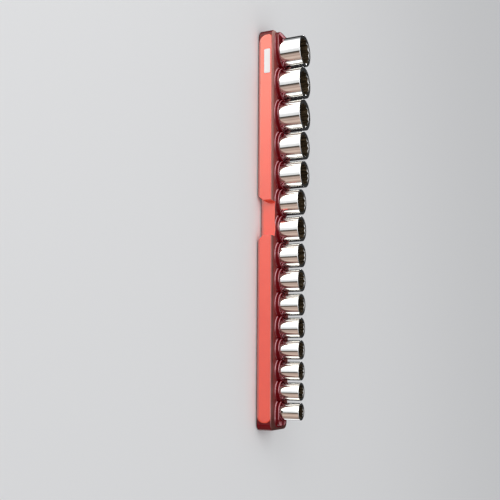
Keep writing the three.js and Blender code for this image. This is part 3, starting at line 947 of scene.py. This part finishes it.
def chrome():
    """Polished chrome plate with faint smudges and a trace of the turning lines below it."""
    material, graph, shader = new_material("chrome_plate")
    place = graph.position()
    smudges = graph.noise(place, scale=75, detail=6, roughness=0.6)
    lines = graph.streaks(place, scales=(30, 30, 2600), detail=2)
    graph.fill(shader, {
        "Base Color": graph.mix(graph.spread(smudges, 0, 1), *CHROME_COLOURS),
        "Roughness": graph.spread(smudges, low=0.035, high=0.085),
        "Normal": graph.bump(lines, distance=0.01, strength=0.02),
        "Metallic": 1,
    })
    return material


def broached():
    """The dark, unpolished inside of a socket, with broaching marks along its depth."""
    material, graph, shader = new_material("broached_steel")
    marks = graph.streaks(graph.position(), scales=(620, 620, 45), detail=3)
    graph.fill(shader, {
        "Base Color": graph.mix(graph.spread(marks, 0, 1), *BROACHED_COLOURS),
        "Roughness": graph.spread(marks, low=0.28, high=0.5),
        "Normal": graph.bump(marks, distance=0.06, strength=0.4),
        "Metallic": 0.85,
    })
    return material


def grained_metal(name, first, second, roughness):
    """Plated metal with a fine, slightly cloudy grain."""
    material, graph, shader = new_material(name)
    place = graph.position()
    clouds = graph.noise(place, scale=190, detail=5)
    fine = graph.noise(place, scale=3200, detail=2)
    graph.fill(shader, {
        "Base Color": graph.mix(graph.spread(clouds, 0, 1), first, second),
        "Roughness": graph.uneven(roughness, clouds, PLATED_UNEVENNESS),
        "Normal": graph.bump(fine, distance=0.02, strength=0.2),
        "Metallic": 1,
    })
    return material


def rubber():
    """Matt black rubber with a fine pebble grain."""
    material, graph, shader = new_material("rear_rubber")
    place = graph.position()
    clouds = graph.noise(place, scale=35, detail=5)
    pebbles = graph.add("ShaderNodeTexVoronoi", {"Vector": place, "Scale": 900})
    graph.fill(shader, {
        "Base Color": graph.mix(graph.spread(clouds, 0, 1), *RUBBER_COLOURS),
        "Roughness": graph.spread(clouds, low=0.75, high=0.92),
        "Normal": graph.bump(pebbles.outputs["Distance"], distance=0.1, strength=0.5),
    })
    return material


# Each overlay is a colour and the mask that says where it lies.
# The pads and the body are one red plastic, painted as a lit copy on the pads and a shaded copy on
# the body.
PAD_PLASTIC_PAINTED_LIT = moulded(
    "red_plastic_painted_lit", (0.87, 0.040, 0.005), (0.94, 0.054, 0.010), roughness=0.34, grain=0.18,
    # The pads' feet take grime and painted shade.
    coat=1.0, coat_roughness=0.22, coat_ior=1.8, overlays=[((0.15, 0.022, 0.018), foot_grime_and_shade)],
)
BODY_PLASTIC_PAINTED_SHADED = moulded(
    "red_plastic_painted_shaded", (0.13, 0.002, 0.005), (0.18, 0.004, 0.008), roughness=0.14, grain=0.06,
    # The collars' rims and feet and the end blocks take painted highlights.
    gloss=0.2, overlays=[((0.90, 0.42, 0.46), collar_highlights)],
)
LEDGE_PLASTIC = moulded(
    "grained_red_plastic", (0.066, 0.014, 0.010), (0.095, 0.022, 0.016), roughness=0.46, grain=0.35,
    overlays=[
        ((0.52, 0.26, 0.22), ledge_paling),
        # A painted highlight beside and between the collars.
        ((0.24, 0.022, 0.018), inner_ledge_highlight),
        # Painted light and shade on the rounded outer edges.
        ((0.55, 0.16, 0.14), edge_light_and_shade),
    ],
)
PLATE_PLASTIC = moulded(
    "black_plate_plastic", (0.020, 0.020, 0.022), (0.034, 0.034, 0.036), roughness=0.5, grain=0.5)
LABEL_WHITE = moulded(
    "white_label_plastic", (0.84, 0.835, 0.83), (0.90, 0.895, 0.89), roughness=0.34, grain=0.12,
    coat=0.15, coat_roughness=0.2,
)
CHROME = chrome()
BROACHED = broached()
NICKEL = grained_metal("nickel_plate", (0.50, 0.49, 0.47), (0.66, 0.65, 0.62), roughness=0.28)
ZINC = grained_metal("zinc_plate", (0.34, 0.36, 0.38), (0.52, 0.54, 0.56), roughness=0.36)
RUBBER = rubber()


def dress_node(name, material, bevel=0.0):
    """Gives a CAD node that stays its material, and a small rounding on its edges."""
    obj = frame["nodes"][name]
    obj.data.materials.clear()
    obj.data.materials.append(material)
    if bevel:
        modifier = obj.modifiers.new("edge_rounding", "BEVEL")
        modifier.width = bevel * MM
        modifier.segments = NODE_EDGE_STEPS
        modifier.limit_method = "ANGLE"
        modifier.angle_limit = NODE_EDGE_ANGLE
        modifier.use_clamp_overlap = True
        modifier.harden_normals = True
        for polygon in obj.data.polygons:
            polygon.use_smooth = True


tray = finish_surface(build_tray(), [PAD_PLASTIC_PAINTED_LIT, BODY_PLASTIC_PAINTED_SHADED, LEDGE_PLASTIC])
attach(tray, "tray")
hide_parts("tray_body")

for i in range(SOCKET_COUNT):
    socket = finish_surface(build_socket(i), [CHROME, BROACHED])
    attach(socket, socket_name(i))
    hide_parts(socket_name(i))

dress_node("label_plate", LABEL_WHITE, LABEL_EDGE)
dress_node("base_plate", PLATE_PLASTIC)
dress_node("rear_pad", RUBBER)
for i in range(SOCKET_COUNT):
    dress_node(f"pocket_magnet_{i + 1:02d}", NICKEL)
for k in range(MOUNT_MAGNET_COUNT):
    dress_node(f"mount_magnet_{k + 1}", NICKEL, MOUNT_MAGNET_EDGE)
for k in range(SCREW_COUNT):
    dress_node(f"base_screw_{k + 1}", ZINC)


# ---- stage, in metres

FLOOR_SIZE = 14.0
FLOOR_DROP = 0.0002
FLOOR_COLOUR = (0.80, 0.80, 0.80, 1)


def make_floor():
    """A pale floor that polished surfaces don't reflect."""
    half = FLOOR_SIZE / 2
    corners = [(-half, -half, 0), (half, -half, 0), (half, half, 0), (-half, half, 0)]
    mesh = bpy.data.meshes.new("floor")
    mesh.from_pydata(corners, [], [(0, 1, 2, 3)])
    floor = bpy.data.objects.new("floor", mesh)
    bpy.context.scene.collection.objects.link(floor)
    floor.location.z = -FLOOR_DROP
    material, graph, shader = new_material("floor_pale")
    graph.fill(shader, {"Base Color": FLOOR_COLOUR, "Roughness": 1, "Specular IOR Level": 0})
    path = graph.add("ShaderNodeLightPath")
    clear = graph.add("ShaderNodeBsdfTransparent")
    surface = graph.mix_shaders(
        path.outputs["Is Glossy Ray"], shader.outputs["BSDF"], clear.outputs["BSDF"])
    graph.fill(graph.nodes["Material Output"], {"Surface": surface})
    mesh.materials.append(material)


# What polished metal sees round the tray below the horizon, by compass angle in degrees: 0 is the
# label side, 90 the small end.
WINDOW = (3.0, 3.0, 2.6)
WHITE = (1.15, 1.15, 1.16)
PALE = (0.86, 0.87, 0.86)
SILVER = (0.34, 0.35, 0.35)
DARK = (0.020, 0.019, 0.019)
LINE = (0.055, 0.045, 0.038)
TAN_DARK = (0.25, 0.19, 0.15)
SAND = (0.62, 0.48, 0.41)
BEIGE = (0.46, 0.33, 0.27)
SAND_LIGHT = (0.70, 0.54, 0.45)
TAN = (0.38, 0.29, 0.24)
TAN_GREY = (0.27, 0.21, 0.19)
SURROUNDINGS = [
    (-180, DARK), (-112, DARK), (-102, SILVER), (-94, SILVER), (-82, WHITE), (-62, WINDOW),
    (-24, WINDOW), (-10, WHITE), (2, PALE), (11, PALE), (14, LINE), (19, LINE), (25, TAN_DARK),
    (34, SAND), (42, BEIGE), (50, SAND_LIGHT), (59, SAND_LIGHT), (68, BEIGE), (90, TAN),
    (102, TAN_GREY), (112, BEIGE), (118, WHITE), (144, WHITE), (152, DARK), (180, DARK),
]
HORIZON = (-0.05, 0.12)

# What it sees above the horizon: a dim sky with a soft box, bright inside one angle and gone at
# another, and lamps, each a direction, the angle where it is gone, and a strength.
BOX_WAY = (-0.12, -0.30, 0.93)
BOX_OUTER = math.radians(58)
BOX_INNER = math.radians(34)
SKY_DIM = 0.035
SKY_BOX = 1.5
LAMPS = [(BOX_WAY, math.radians(24), 3.0), ((-0.632, 0.77, 0.12), math.radians(8), 8.0)]
LAMP_CORE = 0.6

# What the rest of the light comes from, and what the camera sees past the floor.
AMBIENT_COLOUR = (0.92, 0.93, 0.95, 1)
AMBIENT_STRENGTH = 0.70
BACKDROP_COLOUR = (0.86, 0.86, 0.86, 1)


def towards(graph, direction, way):
    """The cosine of the angle between a direction and a fixed one."""
    made = graph.add(
        "ShaderNodeVectorMath", {0: direction, 1: Vector(way).normalized()},
        operation="DOT_PRODUCT")
    return made.outputs["Value"]


def make_world():
    world = bpy.data.worlds.new("studio")
    bpy.context.scene.world = world
    world.use_nodes = True
    graph = Graph(world.node_tree)
    graph.nodes.clear()
    direction = graph.add("ShaderNodeTexCoord").outputs["Generated"]
    x, y, z = graph.axes(direction)
    compass = graph.calculate("ARCTAN2", x, graph.calculate("MULTIPLY", y, -1))
    ring = graph.add(
        "ShaderNodeValToRGB", {"Fac": graph.spread(compass, 0, 1, -math.pi, math.pi)})
    stops = ring.color_ramp.elements
    while len(stops) > 1:
        stops.remove(stops[-1])
    for k, (angle, colour) in enumerate(SURROUNDINGS):
        position = (angle + 180) / 360
        stop = stops[0] if k == 0 else stops.new(position)
        stop.position = position
        stop.color = (*colour, 1)
    box = graph.spread(
        towards(graph, direction, BOX_WAY), SKY_DIM, SKY_BOX,
        math.cos(BOX_OUTER), math.cos(BOX_INNER))
    colour = graph.mix(graph.spread(z, 0, 1, *HORIZON), ring.outputs["Color"], box)
    for way, radius, power in LAMPS:
        lamp = graph.spread(
            towards(graph, direction, way), 0, power,
            math.cos(radius), math.cos(radius * LAMP_CORE))
        lit = graph.add("ShaderNodeVectorMath", {0: colour, 1: lamp}, operation="ADD")
        colour = lit.outputs["Vector"]
    path = graph.add("ShaderNodeLightPath")
    seen = graph.mix_shaders(
        path.outputs["Is Camera Ray"],
        graph.background(AMBIENT_COLOUR, AMBIENT_STRENGTH), graph.background(BACKDROP_COLOUR))
    surface = graph.mix_shaders(path.outputs["Is Glossy Ray"], seen, graph.background(colour))
    graph.add("ShaderNodeOutputWorld", {"Surface": surface})


def area_light(name, place, target, size, power):
    """A soft lamp that polished surfaces don't show."""
    data = bpy.data.lights.new(name, "AREA")
    data.shape = "RECTANGLE"
    data.size, data.size_y = size
    data.energy = power
    lamp = bpy.data.objects.new(name, data)
    bpy.context.scene.collection.objects.link(lamp)
    lamp.location = place
    lamp.rotation_mode = "QUATERNION"
    lamp.rotation_quaternion = (Vector(target) - Vector(place)).to_track_quat("-Z", "Y")
    lamp.visible_glossy = False


# The photograph's camera, found from the straight edges and the row of sockets: its place in
# millimetres, its directions, and its focal length and frame in pixels.
CAMERA_PLACE = (191.74, -944.81, 409.96)
CAMERA_AHEAD = (-0.15278, 0.898279, -0.412012)
CAMERA_UP = (-0.988175, -0.144348, 0.051719)
FOCAL_PIXELS = 770.32
FRAME_PIXELS = 500
SENSOR_WIDTH = 36
CAMERA_SHIFT = -0.001
CLIP_START = 0.01
CLIP_END = 50


def make_camera():
    data = bpy.data.cameras.new("camera")
    camera = bpy.data.objects.new("camera", data)
    bpy.context.scene.collection.objects.link(camera)
    back = -Vector(CAMERA_AHEAD).normalized()
    right = Vector(CAMERA_UP).cross(back).normalized()
    up = back.cross(right)
    turn = Matrix((right, up, back)).transposed()
    camera.matrix_world = Matrix.Translation(Vector(CAMERA_PLACE) * MM) @ turn.to_4x4()
    data.sensor_width = SENSOR_WIDTH
    data.lens = FOCAL_PIXELS * SENSOR_WIDTH / FRAME_PIXELS
    data.shift_x = CAMERA_SHIFT
    data.clip_start = CLIP_START
    data.clip_end = CLIP_END
    bpy.context.scene.camera = camera


make_floor()
make_world()
area_light("key", place=(-0.9, -1.3, 0.55), target=(0, 0, 0.02), size=(1.2, 0.8), power=8)
area_light("top", place=(0.1, -0.2, 1.6), target=(0, 0, 0), size=(1.6, 1.2), power=3)
make_camera()
bpy.context.scene.view_settings.view_transform = "Standard"
